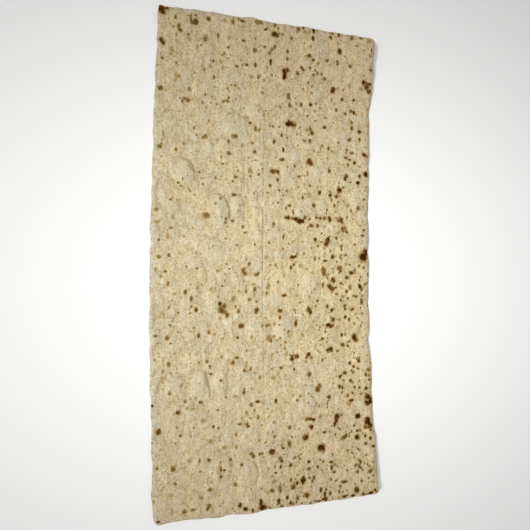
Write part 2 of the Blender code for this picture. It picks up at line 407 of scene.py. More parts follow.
# Scorches that stand out, by how deeply they baked: place, half the width and half the length in millimetres
scorches = {
    1.0: [
        (94, 93, 3.4, 3.2), (127, 6, 5.6, 6.5), (130, 11, 3.6, 6.0), (121, 104, 2.8, 2.2),
        (132, -176, 4.4, 3.0), (131, -184, 3.6, 3.4), (136, -181, 2.4, 5.0), (131, -207, 4.2, 5.0),
        (134, -213, 3.8, 3.2), (66, -235, 4.8, 4.6), (116, -226, 3.3, 3.5), (132, 116, 3.4, 3.6),
        (129, 239, 2.8, 3.0), (137, 228, 3.0, 2.8), (27, 174, 6.6, 4.0), (23, 173, 3.2, 3.0),
        (18, 239, 3.6, 4.2), (18, 233, 2.6, 4.4), (-135, 294, 4.2, 3.6), (-133, 290, 3.0, 3.0),
        (-11, -296, 4.8, 3.8), (-13, -290, 2.4, 4.0), (41, -270, 3.5, 3.8), (38, 50, 3.6, 3.2),
        (33, 53, 4.6, 2.4), (42, 50, 3.0, 2.6), (118, -200, 3.4, 3.3), (88, -199, 3.3, 4.0),
        (24, 54, 2.6, 2.8),
    ],
    0.85: [
        (66, 88, 2.5, 3.0), (81, 85, 2.1, 2.1), (90, 84, 2.2, 2.5), (77, 26, 3.6, 4.4), (75, 22, 3.0, 3.6),
        (84, 6, 2.5, 2.9), (60, 27, 2.2, 2.5), (73, 0, 2.8, 1.8), (80, 56, 1.9, 2.2), (21, 54, 2.2, 2.2),
        (85, -25, 3.4, 3.4), (80, -33, 2.8, 3.4), (83, -36, 3.0, 3.4), (50, -62, 3.2, 3.6),
        (52, -65, 2.6, 3.0), (76, -58, 2.1, 2.6), (78, -82, 4.2, 2.4), (80, -84, 2.8, 2.0),
        (101, -72, 1.9, 2.2), (122, -33, 2.9, 2.9), (110, -15, 3.4, 2.5), (82, -63, 2.1, 2.8),
        (112, -62, 2.4, 1.9), (113, -98, 4.0, 4.2), (115, -102, 3.4, 3.0), (96, -95, 1.8, 2.3),
        (81, -113, 3.0, 3.4), (77, -114, 3.0, 2.4), (50, -118, 2.6, 2.6), (107, -132, 2.3, 2.3),
        (112, -136, 2.1, 2.0), (119, -129, 2.2, 3.0), (112, -144, 2.0, 2.1), (100, -144, 2.6, 2.2),
        (93, -148, 2.0, 2.3), (92, -161, 2.5, 2.6), (78, -173, 2.4, 2.3), (109, -179, 3.0, 1.9),
        (52, -198, 2.4, 2.4), (56, -199, 2.4, 2.0), (129, -147, 2.1, 2.4), (130, -165, 2.3, 2.6),
        (134, -154, 1.8, 1.6), (53, -208, 2.9, 3.2), (87, -203, 3.0, 2.4), (85, -207, 2.4, 3.0),
        (117, -202, 2.6, 1.8), (69, -291, 2.0, 4.0), (70, -296, 2.4, 2.8), (79, -253, 2.8, 1.8),
        (79, -259, 2.0, 2.8), (64, -285, 2.2, 3.0), (95, -296, 2.6, 1.8), (107, -296, 2.8, 1.8),
        (121, -296, 2.4, 2.2), (131, -296, 3.0, 1.8), (138, -293, 1.8, 1.8), (60, -297, 3.2, 1.4),
        (138, -239, 2.6, 1.7), (95, -278, 4.0, 1.7), (112, -290, 3.4, 3.8), (127, -225, 2.0, 1.8),
        (116, -218, 2.0, 1.8), (49, -250, 2.2, 2.0), (45, -288, 3.2, 3.0), (134, -229, 2.1, 2.3),
        (53, 127, 4.0, 4.2), (55, 124, 2.6, 2.6), (104, 112, 2.8, 2.4), (102, 108, 2.2, 2.8),
        (123, 113, 1.8, 2.9), (80, 117, 2.1, 2.9), (54, 201, 2.4, 2.5), (108, 160, 2.2, 2.1),
        (116, 198, 2.3, 2.5), (116, 131, 2.4, 2.9), (130, 142, 3.0, 2.6), (134, 235, 3.6, 5.0),
        (86, 226, 3.2, 2.6), (84, 222, 3.2, 3.0), (56, 286, 2.3, 3.2), (57, 297, 2.3, 3.4),
        (98, 213, 2.3, 2.4), (115, 214, 2.3, 1.8), (93, 275, 2.8, 3.6), (4, 284, 4.0, 3.4),
        (8, 283, 2.4, 2.6), (22, 242, 2.6, 3.0), (0, 249, 1.8, 4.2), (17, 140, 1.5, 2.9),
        (41, 200, 1.9, 2.9), (-46, 79, 3.2, 2.0), (29, 4, 3.8, 2.2), (33, 5, 2.0, 1.8), (27, -9, 1.6, 2.6),
        (-18, -63, 2.4, 3.2), (-16, -60, 1.8, 2.2), (13, -63, 3.0, 2.3), (18, -44, 3.4, 1.9),
        (28, -122, 2.9, 3.1), (34, -120, 3.0, 2.7), (7, -173, 2.0, 2.7), (-16, -172, 2.9, 2.1),
        (-30, -197, 2.2, 2.4), (-28, -200, 2.4, 1.9), (2, -233, 4.2, 3.2), (45, -220, 4.2, 3.8),
        (-32, -295, 2.6, 2.6), (-23, -298, 1.8, 2.4), (-38, -290, 2.3, 3.2), (9, -291, 2.3, 3.1),
        (25, -251, 2.5, 2.5), (28, -277, 3.2, 3.2), (33, -273, 2.0, 2.6), (20, -288, 1.9, 2.3),
        (-14, -234, 1.7, 1.9), (6, -258, 1.7, 1.4), (13, -297, 2.0, 1.6), (24, -295, 1.8, 2.4),
        (-134, 258, 2.6, 3.4), (-132, 255, 2.4, 3.6), (-94, 285, 3.0, 4.0), (-63, -53, 2.2, 3.4),
        (-60, -61, 2.0, 2.2), (-54, -66, 1.9, 2.6), (-91, -60, 2.1, 2.6), (-111, -178, 2.7, 2.8),
        (-133, -197, 3.0, 3.8), (-61, -247, 1.1, 4.4), (-57, -248, 1.9, 1.2), (-61, -255, 1.9, 2.1),
        (-132, -296, 2.0, 1.2), (-135, 200, 3.4, 3.2), (-140, -168, 1.5, 1.7), (-73, -136, 1.5, 1.6),
        (-56, 49, 1.6, 1.9), (-88, -90, 1.9, 3.0), (-104, -39, 2.1, 3.0), (-84, 90, 0.9, 1.5),
        (-54, 260, 1.6, 1.6), (-71, 222, 1.3, 2.3),
    ],
    0.65: [
        (58, 71, 2.8, 3.2), (120, 70, 2.8, 3.2), (95, 54, 4.0, 3.8), (54, 45, 3.0, 2.5),
        (100, 42, 4.4, 3.8), (104, 38, 2.4, 2.4), (128, 41, 2.0, 2.2), (127, 34, 1.9, 2.2),
        (89, 30, 2.1, 2.5), (96, 20, 2.5, 1.9), (102, 8, 2.6, 1.7), (46, 55, 2.4, 2.5), (52, 53, 2.0, 1.6),
        (62, 55, 2.8, 1.3), (67, 55, 2.1, 2.2), (73, 55, 2.5, 2.5), (89, 56, 3.0, 1.0), (64, 19, 1.6, 1.6),
        (115, 22, 1.8, 1.8), (59, 3, 1.8, 2.6), (71, -12, 3.2, 4.2), (72, -17, 2.8, 3.4),
        (94, -9, 4.0, 3.2), (95, -13, 2.2, 2.0), (115, -13, 1.8, 4.2), (104, -21, 2.6, 3.0),
        (108, -34, 2.5, 3.1), (70, -31, 1.9, 3.6), (130, -30, 2.4, 1.9), (121, -6, 1.8, 2.2),
        (116, -46, 2.5, 1.9), (100, -58, 2.2, 2.6), (101, -62, 1.9, 2.2), (83, -75, 3.4, 3.0),
        (125, -54, 2.4, 2.9), (106, -76, 1.7, 2.7), (95, -29, 2.2, 2.1), (105, -48, 1.8, 1.6),
        (69, -99, 2.8, 2.0), (97, -108, 3.3, 2.5), (90, -115, 2.1, 2.1), (51, -143, 2.6, 3.4),
        (62, -162, 4.0, 3.6), (65, -158, 3.0, 3.0), (104, -173, 1.9, 2.4), (123, -172, 2.0, 1.7),
        (118, -139, 2.0, 1.5), (108, -154, 2.6, 2.3), (120, -155, 1.7, 1.8), (133, -141, 3.6, 2.2),
        (47, -198, 2.7, 2.4), (128, -214, 3.6, 3.2), (100, -223, 3.0, 2.8), (97, -225, 2.8, 3.0),
        (55, -269, 1.9, 3.0), (53, -273, 1.7, 2.2), (127, -235, 2.3, 2.8), (132, -269, 3.2, 2.2),
        (114, -268, 2.0, 2.6), (118, -255, 2.4, 1.7), (117, -261, 2.0, 3.0), (71, -216, 2.8, 1.7),
        (82, -265, 2.6, 1.8), (49, -258, 2.5, 2.0), (90, -283, 1.6, 2.0), (88, -289, 1.8, 2.4),
        (76, -290, 2.3, 2.3), (112, 143, 3.3, 2.3), (104, 136, 2.9, 2.0), (109, 134, 2.6, 1.6),
        (112, 184, 2.3, 2.7), (112, 176, 2.2, 3.1), (123, 172, 3.4, 3.0), (123, 162, 2.0, 2.0),
        (56, 165, 2.9, 3.2), (54, 170, 2.2, 2.4), (73, 174, 2.6, 2.3), (103, 195, 2.2, 2.1),
        (111, 199, 1.8, 2.4), (90, 198, 1.8, 2.6), (79, 147, 1.9, 3.0), (53, 154, 2.0, 3.0),
        (107, 127, 1.7, 2.3), (93, 155, 1.6, 1.8), (138, 238, 3.2, 2.8), (52, 264, 3.1, 2.6),
        (57, 259, 2.0, 2.0), (53, 249, 1.8, 1.8), (63, 243, 1.9, 2.8), (57, 240, 2.4, 2.0),
        (73, 237, 3.0, 2.6), (80, 291, 2.7, 2.2), (83, 298, 1.6, 3.0), (92, 296, 1.9, 3.0),
        (110, 295, 2.7, 3.4), (123, 296, 2.9, 2.0), (109, 258, 2.8, 2.5), (139, 256, 3.0, 2.0),
        (139, 282, 1.3, 4.0), (-49, 292, 2.6, 3.4), (-37, 294, 3.4, 2.1), (-42, 296, 1.4, 3.0),
        (-18, 296, 3.0, 3.0), (-14, 297, 2.6, 2.6), (-8, 288, 2.4, 1.7), (5, 296, 2.3, 3.0),
        (36, 295, 2.7, 3.4), (-35, 271, 2.8, 1.8), (-21, 261, 2.2, 3.3), (41, 247, 2.0, 2.4),
        (43, 245, 2.0, 2.0), (36, 240, 2.3, 2.7), (-43, 238, 2.5, 2.3), (-20, 243, 2.1, 3.0),
        (-31, 242, 2.4, 1.8), (-45, 214, 2.1, 2.1), (24, 209, 2.8, 4.2), (5, 268, 1.9, 3.2),
        (-8, 267, 2.0, 1.8), (-2, 260, 2.0, 2.4), (22, 265, 2.0, 2.4), (22, 256, 1.8, 2.5),
        (26, 198, 2.7, 3.2), (-26, 170, 2.6, 2.1), (-19, 163, 2.1, 3.8), (-46, 151, 3.8, 2.8),
        (-23, 145, 2.2, 2.0), (-20, 134, 2.6, 2.4), (16, 127, 2.9, 2.6), (5, 149, 2.1, 3.0),
        (15, 158, 1.8, 2.3), (4, 111, 4.2, 3.6), (10, 111, 2.3, 3.0), (38, 107, 2.4, 1.6),
        (-15, 106, 1.8, 1.9), (43, 80, 1.8, 2.6), (25, 69, 2.3, 2.1), (12, 88, 1.8, 2.0), (0, 93, 2.0, 2.4),
        (10, 101, 2.4, 2.3), (-44, 101, 2.4, 2.4), (4, 45, 2.0, 2.5), (-48, 47, 2.4, 2.1),
        (-35, 40, 1.8, 2.3), (17, 29, 1.5, 3.4), (30, 61, 1.2, 4.0), (35, 8, 1.2, 2.4),
        (-34, -13, 3.0, 4.0), (-32, -17, 2.8, 3.0), (-18, -18, 2.8, 2.6), (-15, -16, 1.6, 2.0),
        (-20, -36, 2.2, 3.4), (-27, -5, 2.0, 2.3), (-27, -49, 1.8, 2.2), (-37, -80, 3.6, 3.4),
        (-40, -62, 2.1, 3.0), (-41, -94, 2.1, 2.1), (33, -79, 2.5, 3.8), (-47, -124, 2.7, 3.0),
        (-42, -118, 3.2, 1.6), (-33, -133, 1.9, 2.4), (-25, -132, 1.8, 3.0), (-24, -175, 2.4, 2.4),
        (-33, -160, 2.1, 3.4), (-38, -197, 3.0, 1.8), (14, -133, 2.8, 1.8), (31, -136, 1.5, 2.4),
        (12, -242, 2.6, 3.2), (14, -245, 2.2, 2.2), (-24, -233, 2.6, 2.4), (-22, -236, 2.6, 2.4),
        (24, -225, 2.6, 3.8), (24, -206, 2.5, 2.4), (-44, -266, 2.3, 2.3), (-36, -244, 2.1, 2.1),
        (1, -278, 2.5, 2.3), (11, -277, 2.3, 4.4), (25, -269, 1.8, 3.0), (33, -290, 2.0, 3.0),
        (-49, -237, 2.0, 2.4), (-128, 295, 2.8, 2.3), (-133, 236, 2.2, 2.2), (-114, 276, 2.2, 4.4),
        (-112, 272, 2.2, 2.2), (-118, 287, 1.8, 3.2), (-100, 289, 1.9, 5.0), (-98, 283, 2.6, 2.2),
        (-79, 291, 2.8, 2.9), (-82, 267, 3.0, 3.6), (-67, 273, 1.8, 3.0), (-103, 190, 2.8, 3.0),
        (-106, 191, 2.6, 2.2), (-109, 188, 1.6, 2.4), (-101, 203, 2.3, 2.8), (-55, 194, 2.8, 2.2),
        (-53, 198, 1.4, 2.4), (-60, 193, 1.6, 2.2), (-81, 148, 2.4, 2.4), (-84, 146, 2.0, 1.8),
        (-53, 144, 1.8, 3.0), (-53, 130, 2.9, 2.6), (-135, 131, 2.8, 2.8), (-116, 129, 1.7, 2.1),
        (-138, 57, 2.6, 2.3), (-121, 36, 2.3, 1.9), (-80, 52, 5.0, 3.8), (-134, 2, 2.8, 2.4),
        (-124, -29, 2.1, 3.4), (-127, -15, 2.1, 1.9), (-97, -47, 1.8, 4.0), (-124, -92, 2.7, 2.6),
        (-76, -86, 2.1, 2.8), (-137, -89, 2.7, 1.6), (-122, -122, 2.5, 3.0), (-103, -166, 2.3, 2.1),
        (-85, -168, 2.7, 2.3), (-78, -121, 2.1, 2.5), (-61, -144, 2.1, 1.8), (-70, -197, 2.0, 1.9),
        (-64, -199, 2.0, 1.7), (-116, -240, 2.7, 3.4), (-75, -235, 2.3, 2.5), (-86, -234, 1.5, 3.2),
        (-134, -238, 2.0, 1.8), (-108, -204, 2.4, 2.0), (-103, -289, 2.7, 2.4), (-94, -288, 2.5, 1.8),
        (-75, -286, 2.5, 2.6), (-74, -268, 2.8, 2.2), (-123, 4, 2.0, 2.3), (127, -249, 1.7, 1.4),
        (119, -257, 1.6, 1.4), (119, -264, 1.5, 1.5), (128, -260, 1.5, 1.4), (136, -258, 1.4, 1.4),
        (131, -263, 1.3, 1.3), (124, -259, 1.1, 1.1), (111, -261, 1.4, 1.5), (108, -245, 1.5, 1.5),
        (121, -267, 1.3, 1.2), (136, -275, 1.5, 1.2), (129, -277, 1.4, 1.3), (134, -266, 1.1, 1.1),
        (139, -268, 1.1, 1.2), (81, -244, 1.4, 1.4), (64, -249, 1.2, 1.2), (-113, 217, 1.7, 1.8),
        (-61, -59, 4.2, 5.6), (-58, -56, 2.4, 4.2), (-58, -63, 4.0, 3.0), (-83, 230, 1.2, 2.2),
        (-72, 241, 1.4, 2.4), (-59, 253, 1.3, 2.0), (-122, 69, 1.5, 1.3), (-69, 67, 1.4, 2.0),
        (-56, 25, 1.5, 1.3), (-135, 22, 1.5, 1.7), (-110, 86, 1.7, 1.4), (-108, 94, 1.0, 2.2),
        (-94, 76, 1.4, 1.2), (-101, 84, 1.0, 2.0), (-90, -11, 1.7, 1.5), (-60, -32, 1.6, 1.3),
        (-85, -30, 1.3, 1.8), (-103, -9, 1.4, 1.4), (-121, -77, 1.4, 1.3), (-122, -56, 1.1, 1.6),
        (-112, -63, 1.7, 1.2), (-98, -64, 1.4, 1.3), (-120, -98, 1.2, 1.2), (-135, -97, 1.3, 1.0),
        (-69, -89, 1.3, 1.6), (-65, -178, 1.4, 1.6), (-55, -164, 1.6, 1.3), (-93, -196, 1.3, 1.3),
        (-60, 116, 1.7, 1.5), (-88, 104, 1.6, 1.6), (-85, 189, 1.8, 1.7), (10, 72, 1.3, 1.7),
        (21, 88, 1.3, 1.5), (17, 82, 1.3, 1.3), (-4, 84, 1.4, 1.4), (-33, 33, 1.6, 1.5),
        (84, -10, 1.6, 1.5), (63, -51, 1.5, 1.4), (60, -57, 1.4, 1.6), (66, -84, 1.5, 1.7),
        (73, -90, 1.3, 2.4),
    ],
    0.35: [
        (52, 84, 3.4, 4.0), (106, 73, 3.1, 3.1), (92, 77, 2.2, 2.2), (63, 95, 2.2, 2.2), (95, 8, 2.8, 1.8),
        (98, -46, 2.6, 2.0), (92, -75, 3.0, 2.0), (125, -68, 3.0, 1.8), (113, -81, 2.2, 2.9),
        (102, -4, 2.5, 2.4), (56, -15, 2.4, 1.8), (88, -42, 2.0, 2.6), (56, -77, 2.6, 2.0),
        (46, -127, 2.6, 2.5), (98, -153, 2.6, 2.2), (105, -183, 4.0, 3.0), (136, -283, 3.0, 2.0),
        (84, 143, 3.2, 2.0), (66, 141, 2.4, 1.7), (67, 198, 2.4, 1.6), (64, 256, 2.3, 2.4),
        (136, 294, 3.2, 2.4), (117, 285, 2.6, 1.8), (108, 232, 1.8, 3.6), (125, 230, 3.6, 2.0),
        (-5, 242, 1.9, 2.8), (15, 286, 2.2, 2.2), (-9, 225, 2.3, 2.2), (-16, 230, 2.2, 2.0),
        (45, 293, 4.0, 2.4), (-31, 176, 4.0, 2.4), (-36, 141, 2.3, 2.8), (32, 121, 1.8, 2.6),
        (49, 168, 2.6, 3.0), (-26, 110, 3.0, 4.0), (12, 195, 2.2, 2.2), (-43, 18, 2.6, 1.8),
        (16, 14, 2.2, 2.2), (-6, 3, 2.2, 2.8), (11, 38, 1.8, 2.8), (-47, -48, 3.0, 5.0),
        (34, -44, 2.4, 2.6), (-22, -30, 3.0, 2.0), (-2, -32, 2.0, 5.0), (-2, -96, 4.2, 4.2),
        (7, -6, 1.9, 2.3), (5, -78, 2.0, 3.0), (-24, -94, 1.7, 2.8), (-44, -164, 3.0, 2.4),
        (4, -144, 3.2, 3.0), (-30, -126, 1.8, 4.0), (5, -198, 3.0, 2.2), (4, -267, 2.8, 3.0),
        (-14, -218, 2.2, 2.2), (-116, 217, 3.0, 3.8), (-118, 211, 1.8, 3.2), (-122, 245, 2.2, 4.4),
        (-59, 292, 2.4, 2.2), (-53, 272, 2.0, 2.6), (-102, 264, 3.0, 2.0), (-92, 255, 1.8, 2.8),
        (-63, 241, 2.2, 2.0), (-61, 235, 2.2, 4.0), (-107, 137, 1.9, 3.0), (-131, 147, 1.6, 4.6),
        (-67, 145, 2.4, 2.4), (-125, 26, 2.0, 4.0), (-138, 42, 3.6, 2.2), (-127, -138, 3.4, 2.4),
        (-129, -142, 2.0, 2.0), (-82, -189, 3.0, 3.0), (-108, -147, 2.1, 2.4), (-101, -174, 2.4, 2.1),
        (-94, -175, 2.6, 1.7), (-91, -163, 1.9, 2.4), (-73, -214, 3.2, 3.4), (-98, -233, 2.5, 3.0),
        (-118, -269, 3.0, 2.2), (-57, -222, 3.0, 3.0), (-117, -288, 1.5, 3.6), (-117, -41, 2.5, 1.8),
    ],
}
# smaller ones, scattered: how many are tried, their radii in millimetres and how deeply they bake
scattering = {
    "seed": 5,
    "count": 2500,
    "radii": (0.8, 1.9),
    "skew": 1.5,  # the higher, the fewer are large
    "longer": (0.8, 1.5),
    "depths": (0.20, 0.85),
    "leastDepth": 0.6,  # the share of its depth that one keeps where the sheet toasts least
}
# how much less the scorches baked at the left edge, and from which share of the half width on
paler = {"most": 0.12, "from": 0.3}
# a row of dots along the near end, in metres, with their radii in millimetres
endDots = {
    "seed": 8,
    "count": 16,
    "from": 0.005,
    "to": 0.138,
    "y": -0.2975,
    "straying": (-0.001, 0.003),
    "radii": (1.0, 1.8),
    "depths": (0.6, 0.9),
}
scorchMound = {"height": 0.0003, "reach": 1.3}  # each scorch sits on a low blister


# Where the sheet toasted more than elsewhere: place, how much more, and how far it reaches
toasting = {
    "least": 0.28,
    "lean": 0.30,  # more at the right than at the left
    "leanSpan": 0.6,  # the higher, the narrower the change between the two
    "patches": [
        (0.000, 0.200, 0.20, 0.050), (0.075, 0.045, 0.30, 0.050), (0.120, -0.050, 0.28, 0.070),
        (0.050, -0.260, 0.32, 0.060), (-0.110, 0.270, 0.22, 0.050), (-0.050, -0.040, 0.14, 0.040),
    ],
    "unevenness": 0.14,
    "unevenNoise": (0.035, 0.050, 31),  # size across, size along and seed
    "lightest": 0.03,
}


def browning(x, y):  # how readily the sheet toasts there
    found = toasting["least"] + toasting["lean"] * smooth(0.5 + toasting["leanSpan"] * x / halfWidth)
    for atX, atY, more, reach in toasting["patches"]:
        found = found + more * np.exp(-((x - atX) ** 2 + (y - atY) ** 2) / reach**2)
    uneven = toasting["unevenness"] * rollingNoise(x, y, *toasting["unevenNoise"])
    return np.clip(found + uneven, toasting["lightest"], 1.0)


def scorchList():  # each as its place, half width, half length and depth
    found = []
    for depth, marks in scorches.items():
        found += [(atX / 1000, atY / 1000, wide / 1000, long / 1000, depth) for atX, atY, wide, long in marks]
    chance = random.Random(scattering["seed"])
    (least, most), leastDepth = scattering["radii"], scattering["leastDepth"]
    for _ in range(scattering["count"]):
        x, y = chance.uniform(-halfWidth, halfWidth), chance.uniform(-halfLength, halfLength)
        likely = float(browning(np.array([x]), np.array([y]))[0])
        radius = (least + (most - least) * chance.random() ** scattering["skew"]) / 1000
        longer, depth = chance.uniform(*scattering["longer"]), chance.uniform(*scattering["depths"])
        if chance.random() < likely:
            found.append((x, y, radius, radius * longer, depth * (leastDepth + (1.0 - leastDepth) * likely)))
    chance = random.Random(endDots["seed"])
    for dot in range(endDots["count"]):
        x = endDots["from"] + (endDots["to"] - endDots["from"]) * (dot + chance.random()) / endDots["count"]
        y = endDots["y"] + chance.uniform(*endDots["straying"])
        radius = chance.uniform(*endDots["radii"]) / 1000
        found.append((x, y, radius, radius, chance.uniform(*endDots["depths"])))
    leftness = [smooth(paler["from"] - mark[0] / halfWidth) for mark in found]
    return [(*mark[:4], mark[4] * (1.0 - paler["most"] * left)) for mark, left in zip(found, leftness)]


farAway = 4.0  # a share that no scorch colours
searchMargin = 0.008  # a scorch counts from its middle as far as its whole size and this
gridShare = 0.25  # how strongly the mesh's own spacing is taken off that share


def scorchFields(xs, ys, x, y, marks):
    # the squared share of the way from the nearest scorch's middle to its edge, and how deeply that one baked
    away, depth = np.full(x.shape, farAway), np.zeros(x.shape)
    pitch = xs[1] - xs[0]
    for atX, atY, wide, long, baked in marks:
        reach = 2 * max(wide, long) + searchMargin
        columns = slice(*np.searchsorted(xs, (atX - reach, atX + reach)))
        rows = slice(*np.searchsorted(ys, (atY - reach, atY + reach)))
        share = ((x[rows, columns] - atX) / wide) ** 2 + ((y[rows, columns] - atY) / long) ** 2
        share = share - gridShare * pitch**2 / (wide * long)  # what a coarse grid adds between its points
        closer = share < away[rows, columns]
        away[rows, columns] = np.where(closer, share, away[rows, columns])
        depth[rows, columns] = np.where(closer, baked, depth[rows, columns])
    return away, depth


def soften(field, turns):
    for _ in range(turns):
        wide = np.pad(field, 1, mode="edge")
        field = (wide[:-2, 1:-1] + wide[2:, 1:-1] + wide[1:-1, :-2] + wide[1:-1, 2:] + 2 * field) / 6
    return field


def flatGrid(cellsAcross, cellsAlong):
    xs = np.linspace(-halfWidth, halfWidth, cellsAcross + 1)
    ys = np.linspace(-halfLength, halfLength, cellsAlong + 1)
    return xs, ys, *np.meshgrid(xs, ys)


def edgeFields(x, y):  # how near a point is to the rim, and how near to one of the two ends
    rosy = sheet["rosyEnds"]
    return {
        # where the thin edge gets painted shade
        "rim": 1.0 - smooth(edgeDistance(x, y) / sheet["shadedRim"]),
        "end": smooth((abs(y) / halfLength - rosy) / (1.0 - rosy)),
    }


# how many turns even the relief out, and how deep below that a hollow's painted shade is darkest
hollows = {"evening": 24, "depth": 0.0005}


def topSide():  # the browned side: its points, and what its finish needs at each of them
    fine = sheet["fineness"]
    xs, ys, x, y = flatGrid(sheet["cellsAcross"] * fine, sheet["cellsAlong"] * fine)
    stray = blisters["wander"] / noisePeak
    noiseX, noiseY = blisters["wanderNoises"]
    strayX = x + stray * rollingNoise(x, y, *noiseX)
    strayY = y + stray * rollingNoise(x, y, *noiseY)
    puffs = raised(xs, ys, strayX, strayY, blisterList()[: len(blisters["large"])])
    mounds = raised(xs, ys, x, y, blisterList())
    bubbles = raised(xs, ys, strayX, strayY, scattered(blisters["bubbles"]))
    pimples = raised(xs, ys, strayX, strayY, scattered(blisters["pimples"]))
    creaseHeight, creaseLine = creaseRelief(xs, x, y)
    placeX, placeY = placed(x, y)
    stray = wrinkles["width"] * wrinkles["wander"]
    noiseX, noiseY = wrinkles["wanderNoises"]
    folds = wrinkleLines(
        placeX + stray * rollingNoise(x, y, *noiseX),
        placeY + stray * rollingNoise(x, y, *noiseY),
    )
    smoothness = smooth(puffs / blisters["smoothHeight"])
    relief = mounds + (bubbles + pimples) * (1.0 - blisters["lessBumpy"] * smoothness)
    relief = relief + creaseHeight - wrinkles["depth"] * folds
    relief = relief + skinRelief(strayX, strayY) * (1.0 - blisters["lessSkin"] * smoothness)
    scorch, depth = scorchFields(xs, ys, placeX, placeY, scorchList())
    relief = relief + scorchMound["height"] * smooth(scorchMound["reach"] - scorch)
    height = liftOff(x, y) + rimThickness(x, y) + relief * smooth(edgeDistance(x, y) / sheet["rimWidth"])
    local = relief - soften(relief, hollows["evening"])
    fields = {
        # painted shade in the hollows and painted light on raised parts, partly less flour in the hollows and
        # more on top
        "hollow": np.clip(-local / hollows["depth"], -1.0, 1.0),
        "scorch": scorch,
        "scorchDepth": depth,
        "browning": browning(x, y) * (1.0 - blisters["lessBrown"] * smoothness),
        # painted shade along the crease and the wrinkles
        "crease": np.maximum(creaseLine, folds * wrinkles["paintedShade"]),
        "puffed": smoothness,
        "under": np.zeros(x.shape),
        **edgeFields(x, y),
    }
    return placeX, placeY, height, fields


# Shallow pits of the underside, in metres
undersidePits = {
    "seed": 71,
    "depth": 0.00025,
    "size": 0.012,
    "longer": 1.3,
    # how strongly the pits are painted darker, as painted shade
    "paintedShade": 0.5,
    "moreBrowning": 0.1,  # than the top has, which only brings more small specks and a warmer tint
}


def underside():  # flat where it rests, with shallow pits
    x, y = flatGrid(sheet["cellsAcross"], sheet["cellsAlong"])[2:]
    size, depth = undersidePits["size"], undersidePits["depth"]
    noise = rollingNoise(x, y, size, size * undersidePits["longer"], undersidePits["seed"])
    pits = np.clip(noise, 0.0, 1.0) * depth
    height = liftOff(x, y) + pits * smooth(edgeDistance(x, y) / sheet["rimWidth"])
    none = np.zeros(x.shape)
    fields = {
        # painted shade in the pits
        "hollow": pits / depth * undersidePits["paintedShade"],
        "scorch": none + farAway,
        "scorchDepth": none,
        "browning": np.clip(browning(x, y) + undersidePits["moreBrowning"], 0, 1),
        "crease": none,
        "puffed": none,
        "under": none + 1.0,
        **edgeFields(x, y),
    }
    return *placed(x, y), height, fields


def quads(rows, columns, first):
    start = (np.arange(rows)[:, None] * (columns + 1) + np.arange(columns)[None, :]).ravel() + first
    return np.stack([start, start + 1, start + columns + 2, start + columns + 1], 1)


def rimFaces(first):  # one strip of many-sided faces from the underside's border up to the finer top
    across, along, fine = sheet["cellsAcross"], sheet["cellsAlong"], sheet["fineness"]
    steps = range(fine + 1)

    def below(i, j):
        return first + j * (across + 1) + i

    def above(i, j):
        return j * (across * fine + 1) + i

    faces = []
    for i in range(across):
        near = [above((i + 1) * fine - step, 0) for step in steps]
        far = [above(i * fine + step, along * fine) for step in steps]
        faces.append([below(i, 0), below(i + 1, 0)] + near)
        faces.append([below(i + 1, along), below(i, along)] + far)
    for j in range(along):
        left = [above(0, j * fine + step) for step in steps]
        right = [above(across * fine, (j + 1) * fine - step) for step in steps]
        faces.append([below(0, j + 1), below(0, j)] + left)
        faces.append([below(across, j), below(across, j + 1)] + right)
    return faces


def joinSides():
    topX, topY, topZ, topFields = topSide()
    lowX, lowY, lowZ, lowFields = underside()
    points = np.concatenate([
        np.stack([topX, topY, topZ], -1).reshape(-1, 3), np.stack([lowX, lowY, lowZ], -1).reshape(-1, 3),
    ])
    points[:, 2] += crustLow.z
    fields = {name: np.concatenate([topFields[name].ravel(), lowFields[name].ravel()]) for name in topFields}
    fine, across, along = sheet["fineness"], sheet["cellsAcross"], sheet["cellsAlong"]
    topCount = topX.size
    topQuads = quads(along * fine, across * fine, 0)
    lowQuads = quads(along, across, topCount)[:, ::-1]
    faces = topQuads.tolist() + lowQuads.tolist() + rimFaces(topCount)
    return points, faces, fields, topCount


def bakeMap(mesh, topCount):  # the top and the underside lie side by side, and the rim just outside the top
    charts = {"top": (0.008, 0.600), "under": (0.622, 0.992), "ends": (0.008, 0.992), "rim": 0.005}
    fine, across, along = sheet["fineness"], sheet["cellsAcross"], sheet["cellsAlong"]

    def chart(columns, rows, span):
        i, j = np.meshgrid(np.linspace(0, 1, columns + 1), np.linspace(0, 1, rows + 1))
        u = span[0] + (span[1] - span[0]) * i
        v = charts["ends"][0] + (charts["ends"][1] - charts["ends"][0]) * j
        return np.stack([u.ravel(), v.ravel()], 1)

    top = chart(across * fine, along * fine, charts["top"])
    under = chart(across, along, charts["under"])
    beside = chart(across, along, charts["top"])
    middle = beside.mean(0)
    out = (beside - middle) / (np.abs(beside - middle).max(0))
    onBorder = np.abs(out) > 0.9999  # 1 on the border, apart from rounding
    beside = beside + charts["rim"] * np.sign(out) * onBorder
    corner = np.empty(len(mesh.loops), np.int32)
    mesh.loops.foreach_get("vertex_index", corner)
    uv = np.concatenate([top, under])[corner]
    rimStart = 4 * (across * fine * along * fine + across * along)
    rim = corner[rimStart:]
    uv[rimStart:] = np.where((rim < topCount)[:, None], np.concatenate([top, under])[rim], 0)
    lower = rim >= topCount
    uv[rimStart:][lower] = beside[rim[lower] - topCount]
    mesh.uv_layers.new(name="OFBake").uv.foreach_set("vector", uv.astype(np.float32).ravel())


def makeCrust():
    points, faces, fields, topCount = joinSides()
    mesh = bpy.data.meshes.new("crustSheet")
    mesh.from_pydata(points.tolist(), [], faces)
    for name, values in fields.items():
        mesh.attributes.new(name, "FLOAT", "POINT").data.foreach_set("value", values.astype(np.float32))
    bakeMap(mesh, topCount)
    mesh.shade_smooth()
    mesh.set_sharp_from_angle(angle=math.radians(sheet["sharpAngle"]))
    crust = bpy.data.objects.new("crustSheet", mesh)
    bpy.context.scene.collection.objects.link(crust)
    print("crust sheet:", len(mesh.vertices), "points")
    return crust


